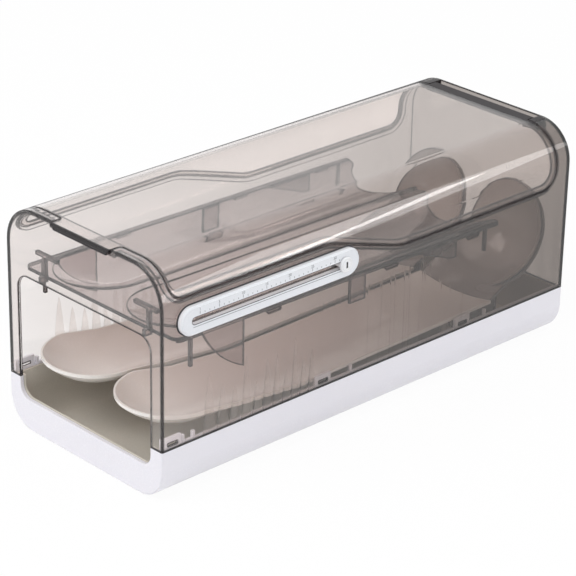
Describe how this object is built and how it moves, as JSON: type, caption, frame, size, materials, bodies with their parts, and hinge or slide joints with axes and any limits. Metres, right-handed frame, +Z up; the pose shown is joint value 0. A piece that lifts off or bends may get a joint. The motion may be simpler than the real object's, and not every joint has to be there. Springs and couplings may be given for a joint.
{
  "type": "rolling egg dispenser",
  "caption": "Long smoky clear two-tier egg dispenser: hinged lid, sloping upper tray, curved rear guides, lower tracks to a front opening, white base and a sliding date marker.",
  "frame": {"origin": "middle of the base's flat underside", "axes": "+Z up, -Y towards the open front, +Y towards the lid's hinge, +X towards the date scale's side"},
  "size_m": [0.1453, 0.3453, 0.1455],
  "materials": {
    "smoky_housing": "clear moulding tinted smoky brown",
    "smoky_lid": "clear moulding tinted smoky brown",
    "smoky_tray": "clear moulding tinted smoky brown",
    "smoky_guide": "clear moulding tinted smoky brown",
    "pale_track": "satin moulding, off-white",
    "white_base": "satin moulding, cool white",
    "grey_liner": "matt moulding, warm grey",
    "scale_bezel": "glossy moulding, pale",
    "slider_knob": "glossy moulding, white",
    "slider_clip": "plain moulding, white"
  },
  "bodies": {
    "root": {"housing": "smoky_housing", "base_tray": "white_base", "liner": "grey_liner", "upper_tray": "smoky_tray", "track_left": "pale_track", "track_right": "pale_track", "guide_left": "smoky_guide", "guide_right": "smoky_guide", "date_scale": "scale_bezel"},
    "lid": {"lid": "smoky_lid"},
    "date_slider": {"date_slider": "slider_knob", "slider_clip": "slider_clip"}
  },
  "joints": [
    {"name": "lid_hinge", "type": "hinge", "parent": "root", "child": "lid", "pos_m": [0, 0.1643, 0.1412], "axis": [-1, 0, 0], "range_deg": [0, 100]},
    {"name": "date_slide", "type": "slide", "parent": "root", "child": "date_slider", "axis": [0, -1, 0], "range_m": [0, 0.1154]}
  ]
}
